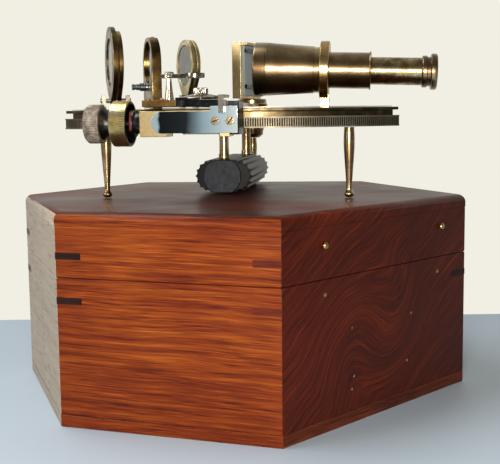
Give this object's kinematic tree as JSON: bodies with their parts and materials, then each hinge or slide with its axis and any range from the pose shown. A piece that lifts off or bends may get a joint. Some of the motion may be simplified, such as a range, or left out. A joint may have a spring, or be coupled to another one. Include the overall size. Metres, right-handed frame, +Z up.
{
  "type": "marine sextant on its case",
  "caption": "Bronze drum-micrometer sextant standing on its legs on the lid of its hexagonal mahogany stowage case.",
  "frame": {"origin": "centre of the flat underside of the case", "axes": "+Z up; +X along the case's line of symmetry towards its wide end; +Y across the case, its widest direction"},
  "size_m": [0.2785, 0.3, 0.2417],
  "materials": {
    "mahogany": "polished, figured",
    "dark_mahogany": "polished",
    "aged_bronze": "aged lacquered bronze",
    "bright_brass": "worn bright",
    "blackened_brass": "chemically blackened",
    "polished_steel": "polished",
    "silver": "satin silver scale",
    "ebonite": "hard rubber",
    "mirror": "silvered",
    "clear_glass": "polished",
    "shade_glass": "neutral tint"
  },
  "bodies": {
    "case": {"case_base_board": "mahogany", "case_walls": "mahogany", "stowage_grip_block": "dark_mahogany", "left_hinge_case_leaf": "aged_bronze", "right_hinge_case_leaf": "aged_bronze"},
    "lid": {"lid_walls": "mahogany", "lid_top_board": "dark_mahogany", "left_hinge_lid_leaf": "aged_bronze", "right_hinge_lid_leaf": "aged_bronze", "left_hook_stud": "bright_brass", "right_hook_stud": "bright_brass"},
    "sextant": {"frame_casting": "aged_bronze", "limb_rack": "aged_bronze", "limb_scale": "silver", "left_leg": "aged_bronze", "right_leg": "aged_bronze", "rear_leg": "aged_bronze", "pivot_bearing": "aged_bronze", "handle_grip": "ebonite", "handle_front_cap": "ebonite", "handle_front_pillar": "aged_bronze", "handle_rear_pillar": "aged_bronze", "handle_screw": "bright_brass", "horizon_mirror_frame": "aged_bronze", "horizon_mirror_glass": "mirror", "horizon_adjusting_screw": "polished_steel", "horizon_shade_clevis": "aged_bronze", "index_shade_clevis": "aged_bronze"},
    "index_arm": {"index_arm": "aged_bronze", "pivot_pin": "polished_steel", "pivot_plate": "aged_bronze", "index_mirror_frame": "bright_brass", "index_mirror_glass": "mirror", "magnifier_post": "bright_brass", "carriage_hinge_block": "blackened_brass"},
    "release": {"release_lever": "polished_steel"},
    "carriage": {"worm_carriage": "bright_brass", "index_sleeve": "blackened_brass", "carriage_leaf_spring": "polished_steel"},
    "micrometer": {"worm_shaft": "polished_steel", "micrometer_drum": "bright_brass", "thumb_wheel": "blackened_brass"},
    "magnifier": {"magnifier_arm": "bright_brass", "magnifier_lens": "clear_glass"},
    "horizon_shade_1": {"horizon_shade_1_frame": "bright_brass", "horizon_shade_1_glass": "shade_glass"},
    "horizon_shade_2": {"horizon_shade_2_frame": "bright_brass", "horizon_shade_2_glass": "shade_glass"},
    "index_shade_1": {"index_shade_1_frame": "bright_brass", "index_shade_1_glass": "shade_glass"},
    "index_shade_2": {"index_shade_2_frame": "bright_brass", "index_shade_2_glass": "shade_glass"},
    "telescope": {"telescope_collar": "aged_bronze", "telescope_tube": "aged_bronze", "objective_lens": "clear_glass"},
    "draw": {"draw_tube": "bright_brass", "eyepiece": "aged_bronze"}
  },
  "joints": [
    {"name": "lid_hinge", "type": "hinge", "parent": "case", "child": "lid", "pos_m": [-0.08335, 0.11316, 0.08735], "axis": [-0.7869, -0.617, 0], "range_deg": [0, 95]},
    {"name": "sextant_lift", "type": "slide", "parent": "lid", "child": "sextant", "axis": [0, 0, 1], "range_m": [0, 0.08]},
    {"name": "index_arm_swing", "type": "hinge", "parent": "sextant", "child": "index_arm", "pos_m": [0.0493, 0.1034, 0.1853], "axis": [0, 0, 1], "range_deg": [-21, 36]},
    {"name": "release_lever_swing", "type": "hinge", "parent": "index_arm", "child": "release", "pos_m": [-0.03414, -0.03315, 0.1893], "axis": [0, 0, 1], "range_deg": [-20, 0], "stiffness_Nm_per_rad": 0.05, "springref_deg": 8.59},
    {"name": "carriage_release", "type": "hinge", "parent": "index_arm", "child": "carriage", "pos_m": [-0.02189, -0.0645, 0.1733], "axis": [0, 0, 1], "range_deg": [0, 5]},
    {"name": "micrometer_turn", "type": "hinge", "parent": "carriage", "child": "micrometer", "pos_m": [-0.03945, -0.05032, 0.1733], "axis": [0.866, -0.5, 0], "continuous": true},
    {"name": "magnifier_swing", "type": "hinge", "parent": "index_arm", "child": "magnifier", "pos_m": [-0.05084, -0.01955, 0.2023], "axis": [0, 0, 1], "range_deg": [-50, 60]},
    {"name": "horizon_shade_1_swing", "type": "hinge", "parent": "sextant", "child": "horizon_shade_1", "pos_m": [-0.06439, 0.0794, 0.1893], "axis": [0.9969, -0.0785, 0], "range_deg": [-80, 0]},
    {"name": "horizon_shade_2_swing", "type": "hinge", "parent": "sextant", "child": "horizon_shade_2", "pos_m": [-0.06439, 0.0794, 0.1893], "axis": [0.9969, -0.0785, 0], "range_deg": [-80, 0]},
    {"name": "index_shade_1_swing", "type": "hinge", "parent": "sextant", "child": "index_shade_1", "pos_m": [-0.00901, 0.08036, 0.1893], "axis": [0.9986, 0.0523, 0], "range_deg": [-90, 0]},
    {"name": "index_shade_2_swing", "type": "hinge", "parent": "sextant", "child": "index_shade_2", "pos_m": [-0.00901, 0.08036, 0.1893], "axis": [0.9986, 0.0523, 0], "range_deg": [-90, 0]},
    {"name": "telescope_rise", "type": "slide", "parent": "sextant", "child": "telescope", "axis": [0, 0, 1], "range_m": [-0.003, 0.012]},
    {"name": "draw_focus", "type": "slide", "parent": "telescope", "child": "draw", "axis": [0.8905, -0.4537, -0.0332], "range_m": [-0.005, 0.01]}
  ],
  "couplings": [
    {"joint": "carriage_release", "follows": "release_lever_swing", "ratio": -0.25}
  ]
}
